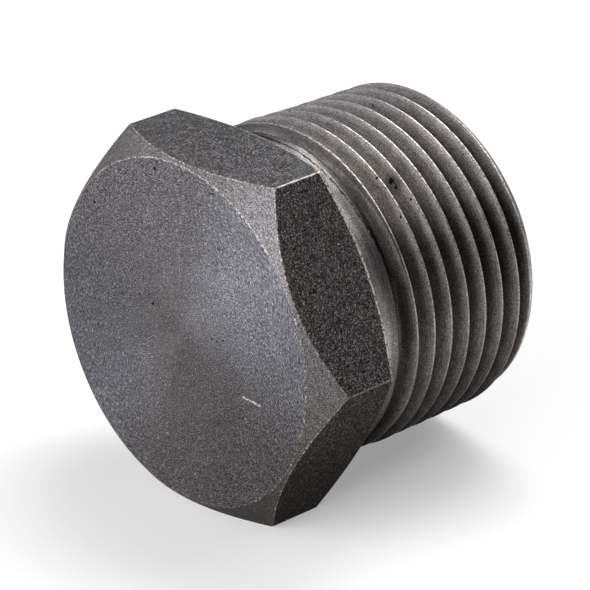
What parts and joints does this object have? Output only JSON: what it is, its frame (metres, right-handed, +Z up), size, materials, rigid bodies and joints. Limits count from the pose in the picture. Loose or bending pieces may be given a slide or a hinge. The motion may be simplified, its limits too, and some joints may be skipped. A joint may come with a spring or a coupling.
{
  "type": "hex head plug",
  "caption": "Solid steel plug with a hexagon head, a short neck and a tapered outside pipe thread that closes a threaded port.",
  "frame": {"origin": "under the middle of the part, on the surface it lies on", "axes": "+Y along the plug's axis, from the head towards the thread's end; +Z up, square to the two flats that lie level; +X across two corners of the hexagon"},
  "size_m": [0.0404, 0.0312, 0.035],
  "materials": {
    "steel": "dark uncoated steel: turned front face and thread, grainy forged flats, dry"
  },
  "bodies": {
    "root": {"hex_head_plug": "steel"}
  },
  "joints": []
}
